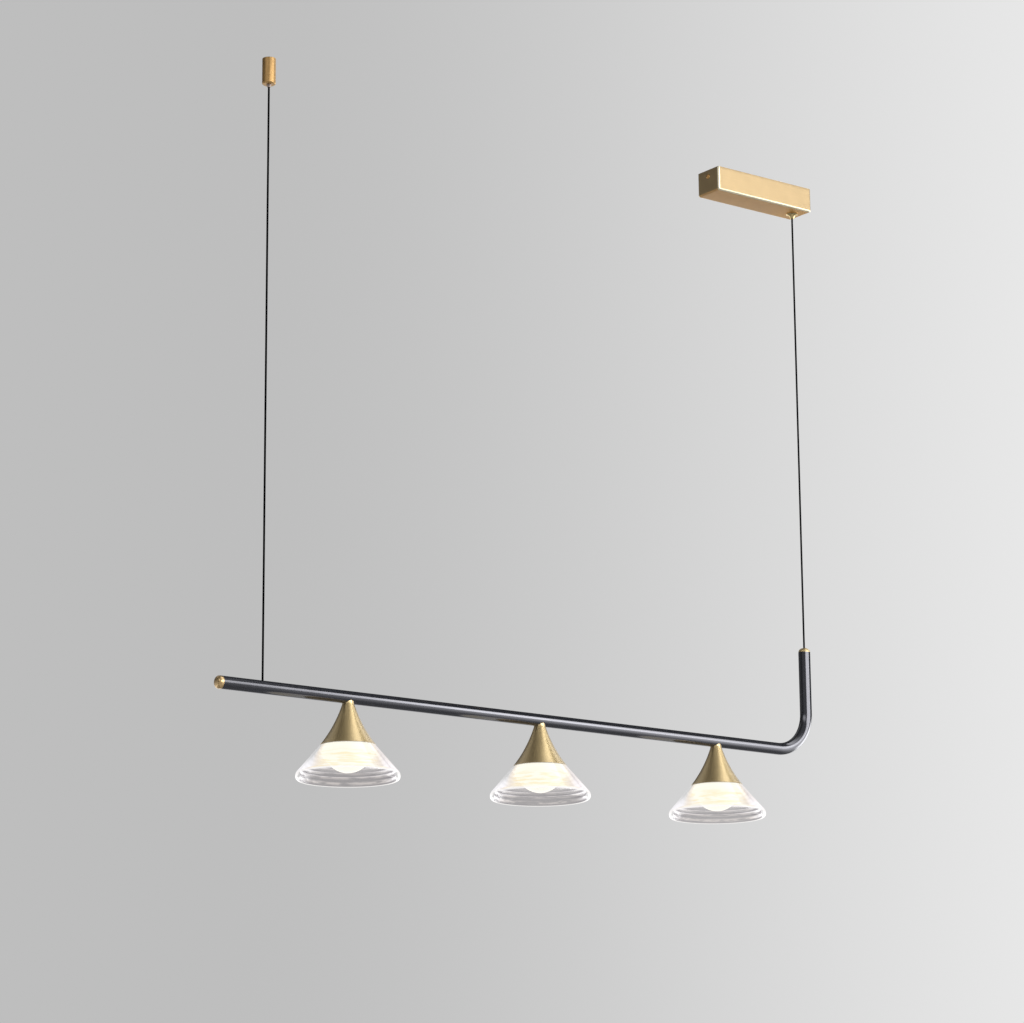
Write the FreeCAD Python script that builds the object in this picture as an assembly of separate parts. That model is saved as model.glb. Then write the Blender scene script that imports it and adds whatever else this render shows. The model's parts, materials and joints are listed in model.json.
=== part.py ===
"""Linear island pendant: a bent black tube with three brass and glass heads, hung from the
ceiling by a steel cable at one end and by its power cord at the other.

Millimetres. The origin is on the ceiling, at the middle of the canopy's mounting bracket.
X runs along the tube towards the bent arm, Y points away from the near long side, Z is up.
"""
import FreeCAD, Part

import math
import os

from FreeCAD import Vector

UP = Vector(0, 0, 1)
ALONG = Vector(1, 0, 0)
ACROSS = Vector(0, 1, 0)

# Driving dimensions of the whole pendant.
DROP = 939.0                # ceiling to the tube's axis
TUBE_D = 19.0
TUBE_WALL = 1.5
BEND_R = 62.0               # centre line of the elbow
ARM_RISE = 161.5            # tube's axis to the top of the bent-up arm
ARM_X = 80.5                # arm, power cord and cord grip
BAR_REACH = 1102.0          # rounded left tip to the arm's axis
CABLE_INSET = 76.5          # left tip to the suspension cable
HEAD_INSET = 222.0          # left tip to the first head
HEAD_PITCH = 345.0
HEADS = 3
CABLE_D = 3.0
CORD_D = 3.0

# Ceiling canopy.
CANOPY_L = 200.0
CANOPY_W = 52.0
CANOPY_H = 40.0
CANOPY_WALL = 1.2
CANOPY_FOLD_R = 3.0
END_SCREW_Z = -11.0
BRACKET_W = 30.0
BRACKET_T = 1.5
SLOT_SPACING = 140.0
SLOT_L = 12.0
SLOT_W = 4.5
MAINS_HOLE_X = -52.0
MAINS_HOLE_R = 8.0
DRIVER_X = (-40.0, 62.0)
DRIVER_W = 38.0
DRIVER_H = 22.0

# Ceiling gripper of the suspension cable.
GRIPPER_D = 20.0
GRIPPER_H = 40.0
NIPPLE_D = 7.0              # conical release nipple at its widest
NIPPLE_TIP_D = 4.2
NIPPLE_OUT = 4.7            # how far the release nipple stands out below the barrel
PLUNGER_TRAVEL = 2.0
BALL_R = 1.3
BALLS = 3

# Cord grip under the canopy.
GRIP_H = 8.0
GRIP_R = 10.0

# Lamp head, turned about its own vertical axis: radius, and height below the tube's axis.
NECK = (8.4, -9.0)
CONE_MIDDLE = (21.3, -40.0)
CONE_LIP = (40.2, -69.2)
CONE_WALL = 1.5
SHADE_R = 75.0
SHADE_TOP_Z = -70.0
SHADE_FOOT_Z = -119.5
SHADE_WALL = 4.0            # measured level, through the sloping wall
RIBS = 6
RIB_DEPTH = 1.2
STEM_R = 5.0
STEM_BORE_R = 3.5

# Clearances.
HINGE_GAP = 0.5             # a cord's end to the mouth that it bends at
FLEX_L = 8.0                # stretch of cord that bends below its grip
BALL_GAP = 0.06
SLIDE_GAP = 0.07

TUBE_R = TUBE_D / 2
BORE_R = TUBE_R - TUBE_WALL
CABLE_R = CABLE_D / 2
CORD_R = CORD_D / 2
TIP_X = ARM_X - BAR_REACH
CABLE_X = TIP_X + CABLE_INSET
HEAD_XS = [TIP_X + HEAD_INSET + k * HEAD_PITCH for k in range(HEADS)]
ARM_TOP_Z = ARM_RISE - DROP
CAP_L = 8.0                 # visible length of the left end cap
ARM_CAP_H = 6.5
CAP_ROUND = 5.0
SPIGOT_L = 10.0

# Where the cable and the cord leave their grips, and where they reach the bar.
CABLE_EXIT_Z = -GRIPPER_H - NIPPLE_OUT
CABLE_FOOT_Z = TUBE_R - DROP
CORD_EXIT_Z = -CANOPY_H - GRIP_H
CORD_FOOT_Z = ARM_TOP_Z + ARM_CAP_H


def cylinder(r, z0, z1, x=0.0, y=0.0):
    """Upright cylinder from height z0 up to z1."""
    return Part.makeCylinder(r, z1 - z0, Vector(x, y, z0), UP)


def ring(r_out, r_in, z0, z1, x=0.0, y=0.0):
    return cylinder(r_out, z0, z1, x, y).cut(cylinder(r_in, z0 - 1, z1 + 1, x, y))


def block(x0, x1, y0, y1, z0, z1):
    return Part.makeBox(x1 - x0, y1 - y0, z1 - z0, Vector(x0, y0, z0))


def hexagon(across_flats, z0, z1, x=0.0, y=0.0):
    radius = across_flats / math.sqrt(3)
    corners = [Vector(x + radius * math.cos(math.radians(60 * k)),
                      y + radius * math.sin(math.radians(60 * k)), z0) for k in range(7)]
    return Part.Face(Part.makePolygon(corners)).extrude(Vector(0, 0, z1 - z0))


def laid(shape, axis, at):
    """The shape with its own Z axis laid along another and its origin moved."""
    if axis != UP:
        shape = shape.rotated(Vector(0, 0, 0), UP.cross(axis), math.degrees(UP.getAngle(axis)))
    return shape.translated(at)


def turned(start, *steps, axis=UP, at=Vector(0, 0, 0)):
    """Solid of revolution. A step is a point (r, h) for a line, or (middle, end) for an arc."""
    flat = lambda p: Vector(p[0], 0, p[1])
    edges = []
    here = start
    for step in list(steps) + [start]:
        if isinstance(step[0], tuple):
            edges.append(Part.Arc(flat(here), flat(step[0]), flat(step[1])).toShape())
            here = step[1]
        elif step != here:
            edges.append(Part.makeLine(flat(here), flat(step)))
            here = step
    face = Part.Face(Part.Wire(edges))
    return laid(face.revolve(Vector(0, 0, 0), UP, 360), axis, at)


def dome_middle(edge, pole_h):
    """Middle of the arc from an edge point (r, h) to the axis at pole_h, centred on the axis."""
    rise = pole_h - edge[1]
    radius = (edge[0] ** 2 + rise ** 2) / (2 * rise)
    half = math.asin(edge[0] / abs(radius)) / 2
    return abs(radius) * math.sin(half), pole_h - radius + radius * math.cos(half)


def circle_through(a, b, c):
    """Centre and radius of the circle through three points of a profile."""
    curve = Part.Arc(*[Vector(p[0], p[1], 0) for p in (a, b, c)]).toShape().Curve
    return curve.Center, curve.Radius


def swept(points_and_arcs, radius):
    """Round bar along a wire of lines and tangent arcs."""
    wire = Part.Wire(points_and_arcs)
    start = wire.Edges[0].valueAt(wire.Edges[0].FirstParameter)
    heading = wire.Edges[0].tangentAt(wire.Edges[0].FirstParameter)
    section = Part.Wire(Part.makeCircle(radius, start, heading))
    return wire.makePipeShell([section], True, False)


def rounded_path(points, radius):
    """Straight runs through the points, with every corner rounded by a tangent arc."""
    edges = []
    here = points[0]
    for before, corner, after in zip(points, points[1:], points[2:]):
        back = (before - corner).normalize()
        onward = (after - corner).normalize()
        half = back.getAngle(onward) / 2
        bisector = (back + onward).normalize()
        reach = radius / math.tan(half)
        middle = corner + bisector * (radius / math.sin(half) - radius)
        edges.append(Part.makeLine(here, corner + back * reach))
        here = corner + onward * reach
        edges.append(Part.Arc(corner + back * reach, middle, here).toShape())
    return edges + [Part.makeLine(here, points[-1])]


def bar_centre_line(x_from, z_to):
    """Straight run, elbow and arm of the bent tube, as one chain of edges."""
    corners = [Vector(x_from, 0, -DROP), Vector(ARM_X, 0, -DROP), Vector(ARM_X, 0, z_to)]
    return rounded_path(corners, BEND_R)


# Canopy and what hangs in it.

def canopy_cover():
    """Folded brass box, open at the ceiling, with screw holes in its ends and one for the grip."""
    outer = block(-CANOPY_L / 2, CANOPY_L / 2, -CANOPY_W / 2, CANOPY_W / 2, -CANOPY_H, 0)
    folds = [e for e in outer.Edges if min(v.Z for v in e.Vertexes) < -1]
    outer = outer.makeFillet(CANOPY_FOLD_R, folds)
    inner_l = CANOPY_L / 2 - CANOPY_WALL
    inner_w = CANOPY_W / 2 - CANOPY_WALL
    inner = block(-inner_l, inner_l, -inner_w, inner_w, CANOPY_WALL - CANOPY_H, 5)
    folds = [e for e in inner.Edges if min(v.Z for v in e.Vertexes) < 1]
    inner = inner.makeFillet(CANOPY_FOLD_R - CANOPY_WALL, folds)
    cover = outer.cut(inner)
    cross_hole = Part.makeCylinder(2.25, CANOPY_L + 4,
                                   Vector(-CANOPY_L / 2 - 2, 0, END_SCREW_Z), ALONG)
    return cover.cut(cross_hole).cut(cylinder(4.2, -CANOPY_H - 1, -CANOPY_H + 3, ARM_X))


TAB_X = CANOPY_L / 2 - CANOPY_WALL - 0.4      # outer face of the bracket's end tabs


def slot(x, z0, z1):
    """Slot along X, centred on x."""
    reach = (SLOT_L - SLOT_W) / 2
    body = block(x - reach, x + reach, -SLOT_W / 2, SLOT_W / 2, z0, z1)
    return body.fuse([cylinder(SLOT_W / 2, z0, z1, x - reach),
                      cylinder(SLOT_W / 2, z0, z1, x + reach)]).removeSplitter()


def mounting_bracket():
    """Steel strap against the ceiling, with a tapped tab turned down at each end."""
    half_w = BRACKET_W / 2
    strap = block(-TAB_X, TAB_X, -half_w, half_w, -BRACKET_T, 0)
    left = block(-TAB_X, -TAB_X + BRACKET_T, -8, 8, END_SCREW_Z - 6, 0)
    right = block(TAB_X - BRACKET_T, TAB_X, -8, 8, END_SCREW_Z - 6, 0)
    bracket = strap.fuse([left, right]).removeSplitter()
    tapped = Part.makeCylinder(2.0, 2 * TAB_X + 2, Vector(-TAB_X - 1, 0, END_SCREW_Z), ALONG)
    cuts = [tapped, cylinder(MAINS_HOLE_R, -5, 5, MAINS_HOLE_X)]
    cuts += [slot(s * SLOT_SPACING / 2, -5, 5) for s in (-1, 1)]
    cuts += [turned((0, -4), (1.55, -4), (1.55, -1.4), (3.0, 0), (3.0, 2), (0, 2),
                    at=Vector(x, 0, 0)) for x in DRIVER_SCREW_XS]
    cuts += [cylinder(1.7, -5, 5, EARTH_X)]
    return bracket.cut(cuts)


DRIVER_SCREW_XS = (DRIVER_X[0] + 12, DRIVER_X[1] - 12)
EARTH_X = 88.0


def canopy_screws():
    """Dome-headed socket screws through the cover's ends into the bracket's tabs."""
    head_r, head_h, socket = 4.0, 3.0, 2.5
    screw = turned((0, head_h), (dome_middle((head_r, 0), head_h), (head_r, 0)), (1.95, 0),
                   (1.95, -6), (0, -6))
    screw = screw.cut(hexagon(socket, head_h - 1.6, head_h + 1))
    return Part.makeCompound([laid(screw, Vector(side, 0, 0),
                                   Vector(side * CANOPY_L / 2, 0, END_SCREW_Z))
                              for side in (-1, 1)])


def led_driver():
    """Sealed driver case under the strap, with a wire mouth in each end."""
    x0, x1 = DRIVER_X
    case = block(x0, x1, -DRIVER_W / 2, DRIVER_W / 2, -BRACKET_T - DRIVER_H, -BRACKET_T)
    case = case.makeFillet(2.0, [e for e in case.Edges if abs(e.tangentAt(0).x) > 0.9])
    mouths = []
    for x in (x0, x1 - 5):
        mouths += [Part.makeCylinder(1.2, 5, Vector(x, y, LEAD_Z), ALONG) for y in LEAD_YS]
    pilots = [cylinder(1.5, -BRACKET_T - 7, 0, x) for x in DRIVER_SCREW_XS]
    return case.cut(mouths + pilots)


LEAD_Z = -9.0
LEAD_YS = (-10.0, 10.0)
LEAD_R = 1.1
TERMINAL_X = (-93.5, -78.5)
CORD_HEAD_Z = -20.0


def driver_screws():
    """Countersunk screws that hold the driver to the strap."""
    return Part.makeCompound([turned((0, -0.2), (2.7, -0.2), (1.45, -1.5), (1.45, -7.5), (0, -7.5),
                                     at=Vector(x, 0, 0)) for x in DRIVER_SCREW_XS])


def terminal_block():
    """Three-pole mains terminal block under the strap."""
    x0, x1 = TERMINAL_X
    body = block(x0, x1, -14, 14, -BRACKET_T - 13, -BRACKET_T)
    body = body.makeChamfer(1.5, [e for e in body.Edges if abs(e.tangentAt(0).y) > 0.9
                                  and e.CenterOfMass.z < -8])
    poles = (-10.0, 0.0, 10.0)
    wires = [Part.makeCylinder(1.6, x1 - x0 + 2, Vector(x0 - 1, y, LEAD_Z), ALONG) for y in poles]
    screws = [cylinder(1.8, -20, LEAD_Z, (x0 + x1) / 2, y) for y in poles]
    return body.cut(wires + screws)


def earth_screw():
    """Earth screw with its cup washer, under the strap beside the cord grip."""
    return turned((0, 0), (1.65, 0), (1.65, -BRACKET_T), (4, -BRACKET_T), (4, -2.4),
                  (3.4, -2.4), (3.4, -4.2), (0, -4.2), at=Vector(EARTH_X, 0, 0))


def input_leads():
    """Line and neutral, from the terminal block to the driver."""
    run = DRIVER_X[0] - TERMINAL_X[1] + 10
    return Part.makeCompound([Part.makeCylinder(LEAD_R, run, Vector(TERMINAL_X[1] - 6, y, LEAD_Z),
                                                ALONG) for y in LEAD_YS])


def output_leads():
    """Low-voltage pair from the driver to the top of the power cord."""
    leads = []
    for y in LEAD_YS:
        inner_y = math.copysign(1.3, y)
        course = [Vector(DRIVER_X[1] - 4, y, LEAD_Z), Vector(DRIVER_X[1] + 3, y, LEAD_Z),
                  Vector(ARM_X, inner_y, LEAD_Z), Vector(ARM_X, inner_y, CORD_HEAD_Z + 0.1)]
        leads.append(swept(rounded_path(course, 5.0), LEAD_R))
    return Part.makeCompound(leads)


def cord_grip():
    """Turned brass cord grip: a small trumpet under the canopy on a threaded stub through it."""
    foot = -CANOPY_H - GRIP_H
    bore = CORD_R + 0.25
    trumpet = ((5.1, foot + 4.0), (GRIP_R, -CANOPY_H - 1.0))
    body = turned((bore, foot + 0.8), (bore + 0.6, foot), (3.1, foot), trumpet,
                  (GRIP_R, -CANOPY_H), (4.0, -CANOPY_H), (4.0, -CANOPY_H + 9),
                  (bore, -CANOPY_H + 9), at=Vector(ARM_X, 0, 0))
    return body.cut(clamp_screw_shape(1.5))


CLAMP_AZIMUTH = math.radians(-35)


def clamp_screw_shape(radius):
    """Cylinder on the clamp screw's axis, which crosses the cord level, below the canopy."""
    heading = Vector(math.cos(CLAMP_AZIMUTH), math.sin(CLAMP_AZIMUTH), 0)
    start = Vector(ARM_X, 0, -CANOPY_H - 2.6) + heading * (CORD_R + 0.1)
    return Part.makeCylinder(radius, 7.0, start, heading)


def clamp_screw():
    """Grub screw with a hexagon socket that pinches the cord in its grip."""
    heading = Vector(math.cos(CLAMP_AZIMUTH), math.sin(CLAMP_AZIMUTH), 0)
    start = Vector(ARM_X, 0, -CANOPY_H - 2.6) + heading * (CORD_R + 0.1)
    screw = Part.makeCylinder(1.5, 5.0, start, heading)
    return screw.cut(Part.makeCylinder(0.8, 3.0, start + heading * 3.4, heading))


def grip_nut():
    """Hexagon nut that holds the cord grip from inside the canopy."""
    z0 = CANOPY_WALL - CANOPY_H
    return hexagon(13.0, z0, z0 + 4, ARM_X).cut(cylinder(4.0, z0 - 1, z0 + 5, ARM_X))


def cord_clamp():
    """Split clamp on the cord above the grip, which carries the bar's weight if the screw slips."""
    z0 = -CANOPY_H + 9.2
    clamp = block(ARM_X - 5, ARM_X + 5, -4, 4, z0, z0 + 5)
    clamp = clamp.makeFillet(1.5, [e for e in clamp.Edges if abs(e.tangentAt(0).z) > 0.9])
    split = block(ARM_X + 1, ARM_X + 6, -0.4, 0.4, z0 - 1, z0 + 6)
    return clamp.cut([cylinder(CORD_R, z0 - 1, z0 + 6, ARM_X), split])


def cord_head():
    """Top end of the power cord, held in the grip and the clamp."""
    return cylinder(CORD_R, CORD_EXIT_Z + 0.9, CORD_HEAD_Z, ARM_X)


# Gripper of the suspension cable.

JAW_TOP_Z = -23.0
JAW_STEP_Z = -30.0
JAW_FOOT_Z = -35.0
TAPER_TOP = (5.1, -24.5)
TAPER_FOOT = (3.4, -34.0)
PLUG_Z = (-15.0, -12.0)
SPRING_Z = (-23.5, PLUG_Z[0])
BALL_ORBIT = CABLE_R + BALL_R + 0.05


def ball_height():
    """Height at which a ball on its orbit just clears the jaw's taper."""
    slope = (TAPER_TOP[0] - TAPER_FOOT[0]) / (TAPER_TOP[1] - TAPER_FOOT[1])
    taper_r = BALL_ORBIT + (BALL_R + BALL_GAP) * math.hypot(1, slope)
    return TAPER_FOOT[1] + (taper_r - TAPER_FOOT[0]) / slope


def on_cable(shape):
    shape.translate(Vector(CABLE_X, 0, 0))
    return shape


def gripper_base():
    """Threaded disc screwed to the ceiling, countersunk for its screw."""
    return on_cable(turned((2.25, 0), (8.4, 0), (8.4, -8), (4.5, -8), (2.25, -5.75)))


def gripper_barrel():
    """Plain brass barrel that screws over the base and holds the jaw."""
    r, foot = GRIPPER_D / 2, -GRIPPER_H
    hole = NIPPLE_D / 2 + SLIDE_GAP
    return on_cable(turned((8.4, 0), (r, 0), (r, foot + 0.8), (r - 0.8, foot), (hole, foot),
                           (hole, JAW_FOOT_Z), (5.5, JAW_FOOT_Z), (5.5, JAW_STEP_Z),
                           (8.4, JAW_STEP_Z)))


def grip_jaw():
    """Hardened sleeve whose bore narrows downwards and wedges the balls on the cable."""
    return on_cable(turned((TAPER_FOOT[0], JAW_FOOT_Z), (5.5, JAW_FOOT_Z), (5.5, JAW_STEP_Z),
                           (8.4, JAW_STEP_Z), (8.4, JAW_TOP_Z), (TAPER_TOP[0], JAW_TOP_Z),
                           TAPER_TOP, TAPER_FOOT))


def around_cable(make):
    """One copy of a shape per ball, evenly spaced round the cable."""
    copies = []
    for k in range(BALLS):
        copies.append(make().rotate(Vector(0, 0, 0), UP, 360 * k / BALLS))
    return copies


def plunger():
    """Release plunger: a nipple below, a cage with a window for each ball, and a spring seat."""
    bore = CABLE_R + 0.15
    nipple_r, cage_r, seat_r = NIPPLE_D / 2, 2.9, 4.5
    shoulder_z = JAW_FOOT_Z - PLUNGER_TRAVEL - 0.4
    body = turned((bore, CABLE_EXIT_Z + 1.2), (bore + 0.25, CABLE_EXIT_Z),
                  (NIPPLE_TIP_D / 2, CABLE_EXIT_Z), (nipple_r, -GRIPPER_H - 0.6),
                  (nipple_r, shoulder_z), (cage_r, shoulder_z), (cage_r, -25.6), (seat_r, -25.0),
                  (seat_r, SPRING_Z[0]), (bore, SPRING_Z[0]))
    z = ball_height()
    window = lambda: Part.makeCylinder(BALL_R + 0.06, 4, Vector(0, 0, z), ALONG)
    return on_cable(body.cut(around_cable(window)))


def grip_balls():
    """Steel balls between the cable and the jaw's taper."""
    ball = lambda: Part.makeSphere(BALL_R, Vector(BALL_ORBIT, 0, ball_height()))
    return on_cable(Part.makeCompound(around_cable(ball)))


def grip_spring():
    """Coil spring that keeps the plunger and its balls down in the taper."""
    wire_r, coil_r, turns = 0.35, 3.0, 5
    z0, z1 = SPRING_Z[0] + wire_r + 0.02, SPRING_Z[1] - wire_r - 0.02
    helix = Part.makeHelix((z1 - z0) / turns, z1 - z0, coil_r)
    section = Part.Wire(Part.makeCircle(wire_r, Vector(coil_r, 0, 0), ACROSS))
    coil = Part.Wire(helix).makePipeShell([section], True, True)
    coil.translate(Vector(0, 0, z0))
    return on_cable(coil)


def spring_plug():
    """Threaded plug above the spring, bored for the cable."""
    return on_cable(ring(8.4, CABLE_R + 0.2, PLUG_Z[0], PLUG_Z[1]))


def cable_tail():
    """Upper end of the suspension cable, inside the gripper."""
    return cylinder(CABLE_R, CABLE_EXIT_Z + 1.2, -9.5, CABLE_X)


# The two lines that carry the bar. Each bends where it leaves its grip.

def cable_flex():
    top = CABLE_EXIT_Z - HINGE_GAP
    return cylinder(CABLE_R, top - FLEX_L, top, CABLE_X)


def cord_flex():
    top = CORD_EXIT_Z - HINGE_GAP
    return cylinder(CORD_R, top - FLEX_L, top, ARM_X)


def suspension_cable():
    """Free run of the steel cable, pulled straight by the bar."""
    top = CABLE_EXIT_Z - HINGE_GAP - FLEX_L - 0.3
    return cylinder(CABLE_R, CABLE_FOOT_Z + 0.3, top, CABLE_X)


def power_cord():
    """Free run of the power cord, pulled straight by the bar."""
    top = CORD_EXIT_Z - HINGE_GAP - FLEX_L - 0.3
    return cylinder(CORD_R, CORD_FOOT_Z + 0.3, top, ARM_X)


# The bar.

def bar_tube():
    """Steel tube with its arm bent up, drilled for the cable and for the three stems."""
    path = bar_centre_line(TIP_X + CAP_L, ARM_TOP_Z)
    tube = swept(path, TUBE_R).cut(swept(bar_centre_line(TIP_X + CAP_L - 1, ARM_TOP_Z + 1), BORE_R))
    holes = [cylinder(CABLE_R + 0.3, -DROP, TUBE_R - DROP + 1, CABLE_X)]
    holes += [cylinder(STEM_R, -DROP - TUBE_R - 1, -DROP, x) for x in HEAD_XS]
    return tube.cut(holes)


def end_cap():
    """Brass plug in the left end: a rounded barrel flush with the tube, and its spigot."""
    flat_r = TUBE_R - CAP_ROUND
    middle = (flat_r + CAP_ROUND * math.sin(math.radians(45)),
              CAP_L - CAP_ROUND * (1 - math.cos(math.radians(45))))
    crown = (dome_middle((flat_r, CAP_L), CAP_L + 0.3), (flat_r, CAP_L))
    return turned((0, CAP_L + 0.3), crown,
                  (middle, (TUBE_R, CAP_L - CAP_ROUND)), (TUBE_R, 0), (BORE_R, 0),
                  (BORE_R, -SPIGOT_L), (0, -SPIGOT_L),
                  axis=Vector(-1, 0, 0), at=Vector(TIP_X + CAP_L, 0, -DROP))


def arm_cap():
    """Brass cap on the arm: a low dome with a hole for the cord, and its spigot."""
    hole = CORD_R + 0.7
    rim = TUBE_R - 0.3
    return turned((hole, ARM_CAP_H), (3.6, ARM_CAP_H), ((7.6, 4.4), (rim, 0.8)), (rim, 0),
                  (BORE_R, 0), (BORE_R, -SPIGOT_L), (hole, -SPIGOT_L),
                  at=Vector(ARM_X, 0, ARM_TOP_Z))


def cable_stop():
    """Crimped stop inside the tube, on the end of the cable that comes in through the top hole."""
    top = BORE_R - DROP
    stop = cylinder(3.5, top - 9, top - 0.9, CABLE_X)
    stop = stop.fuse(cylinder(CABLE_R, top - 2, CABLE_FOOT_Z, CABLE_X))
    return stop.removeSplitter()


def arm_cord_clamp():
    """Cord clamp in the arm, under the cap's spigot."""
    z1 = ARM_TOP_Z - SPIGOT_L
    clamp = cylinder(6.5, z1 - 8, z1, ARM_X)
    split = block(ARM_X + 1, ARM_X + 7, -0.5, 0.5, z1 - 9, z1 + 1)
    return clamp.cut([cylinder(CORD_R, z1 - 9, z1 + 1, ARM_X), split])


def bar_wiring():
    """Flex from the cord down the arm and along the bar, with a drop through each stem."""
    main = swept(bar_centre_line(HEAD_XS[0] - 3, CORD_FOOT_Z), CORD_R)
    drops = [cylinder(1.2, -DROP + SINK_FOOT_Z, -DROP, x) for x in HEAD_XS]
    return main.fuse(drops).removeSplitter()


def stems():
    """Threaded tubes welded into the bar, one per head."""
    return Part.makeCompound([ring(STEM_R, STEM_BORE_R, -DROP - 45, -DROP - BORE_R + 1.5, x)
                              for x in HEAD_XS])


def stem_nuts():
    """Nuts that pull each cone up onto the bar."""
    z0 = -DROP + CONE_SEAT_Z - 5
    return Part.makeCompound([hexagon(14.0, z0, z0 + 5, x).cut(cylinder(STEM_R, z0 - 1, z0 + 6, x))
                              for x in HEAD_XS])


# One lamp head, on its own axis. Heights are below the tube's axis.

CONE_SEAT_Z = -20.0
CONE_FLANGE_R = 32.2
SINK_TOP_Z = -28.0
SINK_PLATE_Z = -59.0
SINK_FOOT_Z = -63.5
SINK_R = 29.2
FINS = 12
BOARD_R = 27.0
BOARD_T = 1.6
DIFFUSER_TOP_Z = -61.2
DIFFUSER_NECK_R = 31.0
DIFFUSER_R = 38.4
DIFFUSER_FOOT_Z = -109.0
DIFFUSER_WALL = 1.6


def cone():
    """Spun brass trumpet, coped to the tube at its neck, with a seat for the stem's nut and a
    flange turned in at its lip."""
    centre, radius = circle_through(NECK, CONE_MIDDLE, CONE_LIP)
    inner_r = radius + CONE_WALL

    def inner(z):
        return centre.x - math.sqrt(inner_r ** 2 - (z - centre.y) ** 2)

    flange_z = CONE_LIP[1] + CONE_WALL
    body = turned((STEM_R, -2.0), (NECK[0] - 0.4, -2.0), NECK, (CONE_MIDDLE, CONE_LIP),
                  (CONE_FLANGE_R, CONE_LIP[1]), (CONE_FLANGE_R, flange_z),
                  (inner(flange_z), flange_z),
                  ((inner(-44), -44), (inner(CONE_SEAT_Z), CONE_SEAT_Z)),
                  (STEM_R, CONE_SEAT_Z))
    return body.cut(Part.makeCylinder(TUBE_R, 40, Vector(-20, 0, 0), ALONG))


def heat_sink():
    """Aluminium sink on the stem: a hub, a plate for the board, and fins that follow the cone."""
    hub = turned((STEM_R, SINK_TOP_Z), (8.0, SINK_TOP_Z), (8.0, SINK_PLATE_Z),
                 (SINK_R, SINK_PLATE_Z), (SINK_R, SINK_FOOT_Z), (1.5, SINK_FOOT_Z),
                 (1.5, SINK_PLATE_Z), (STEM_R, SINK_PLATE_Z))
    outline = [(7.5, SINK_TOP_Z - 2), (11.0, SINK_TOP_Z - 2), (26.0, SINK_PLATE_Z),
               (7.5, SINK_PLATE_Z), (7.5, SINK_TOP_Z - 2)]
    fins = []
    for k in range(FINS):
        sheet = Part.Face(Part.makePolygon([Vector(r, -0.8, z) for r, z in outline]))
        fins.append(sheet.extrude(Vector(0, 1.6, 0)).rotate(Vector(0, 0, 0), UP, 360 * k / FINS))
    holes = [cylinder(1.5, SINK_FOOT_Z - 1, SINK_FOOT_Z + 4.2, 0, s * BOARD_SCREW_R)
             for s in (-1, 1)]
    return hub.fuse(fins).removeSplitter().cut(holes)


def led_board():
    """Round circuit board with a ring of LED packages and one in the middle."""
    board = cylinder(BOARD_R, SINK_FOOT_Z - BOARD_T, SINK_FOOT_Z)
    z1 = SINK_FOOT_Z - BOARD_T
    chips = [block(-2, 2, -2, 2, z1 - 0.9, z1)]
    for k in range(8):
        chips.append(block(14, 18, -2, 2, z1 - 0.9, z1).rotate(Vector(0, 0, 0), UP, 45 * k))
    return board.fuse(chips).cut([cylinder(1.6, -70, -50, 0, s * BOARD_SCREW_R) for s in (-1, 1)])


BOARD_SCREW_R = 22.5


def diffuser():
    """Opal bulb: a collar round the sink's plate, a bulge that carries the glass, and a flank that
    runs down into a round foot."""
    w = DIFFUSER_WALL
    neck_r = DIFFUSER_NECK_R
    shoulder_z = SHADE_TOP_Z - 3.1
    bulge_z = shoulder_z - 6.4
    outer_edge = (25.0, -98.9)
    inner_edge = (23.9, -97.7)
    outer_foot = (dome_middle(outer_edge, DIFFUSER_FOOT_Z), (0, DIFFUSER_FOOT_Z))
    inner_foot = (dome_middle(inner_edge, DIFFUSER_FOOT_Z + w), inner_edge)
    return turned((neck_r - w, DIFFUSER_TOP_Z), (neck_r, DIFFUSER_TOP_Z), (neck_r, shoulder_z),
                  ((DIFFUSER_R, bulge_z), (37.1, -84.8)), ((31.4, -92.1), outer_edge), outer_foot,
                  (0, DIFFUSER_FOOT_Z + w), inner_foot, ((30.1, -91.1), (35.8, -83.9)),
                  ((DIFFUSER_R - w, bulge_z), (neck_r - w, shoulder_z - w)))


def glass_shade():
    """Clear cone of glass with rings pressed into its inner face and a thick rounded rim."""
    top = Vector(40.4, SHADE_TOP_Z, 0)
    low = Vector(72.6, -107.2, 0)
    down = (low - top).normalize()
    inward = Vector(down.y, -down.x, 0)
    first_rib, last_rib = 41.0, 67.6

    def inner(r, depth=0.0):
        """Point of the inner face that is r from the axis, pushed in by depth."""
        reach = (r + SHADE_WALL - top.x) / down.x
        point = top + down * reach - Vector(SHADE_WALL, 0, 0) + inward * depth
        return point.x, point.y

    pitch = (last_rib - first_rib) / RIBS
    ribs = []
    for k in range(RIBS):
        base = last_rib - k * pitch
        ribs += [inner(base - pitch / 2, RIB_DEPTH), inner(base - pitch)]
    seat_z = SHADE_TOP_Z - 3.0
    seat_r = top.x - SHADE_WALL + (seat_z - top.y) * down.x / down.y
    return turned((31.6, SHADE_TOP_Z), (top.x, top.y), (low.x, low.y),
                  ((74.4, -110.1), (SHADE_R, -113.5)),
                  ((74.0, -117.4), (71.2, SHADE_FOOT_Z)), ((69.4, -118.6), (68.6, -116.4)),
                  inner(last_rib), *ribs, (seat_r, seat_z), (31.6, seat_z))


def shade_gasket():
    """Silicone ring between the cone's lip and the glass."""
    return ring(39.6, 33.0, SHADE_TOP_Z, CONE_LIP[1])


def board_screws():
    """Pan-head screws that hold each board to its sink."""
    z = SINK_FOOT_Z - BOARD_T - DROP
    shape = lambda: turned((0, z - 1.6), (2.6, z - 1.2), (2.6, z), (1.45, z), (1.45, z + 4),
                           (0, z + 4))
    screws = []
    for x in HEAD_XS:
        for side in (-1, 1):
            screw = shape()
            screw.translate(Vector(x, side * BOARD_SCREW_R, 0))
            screws.append(screw)
    return Part.makeCompound(screws)


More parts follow.
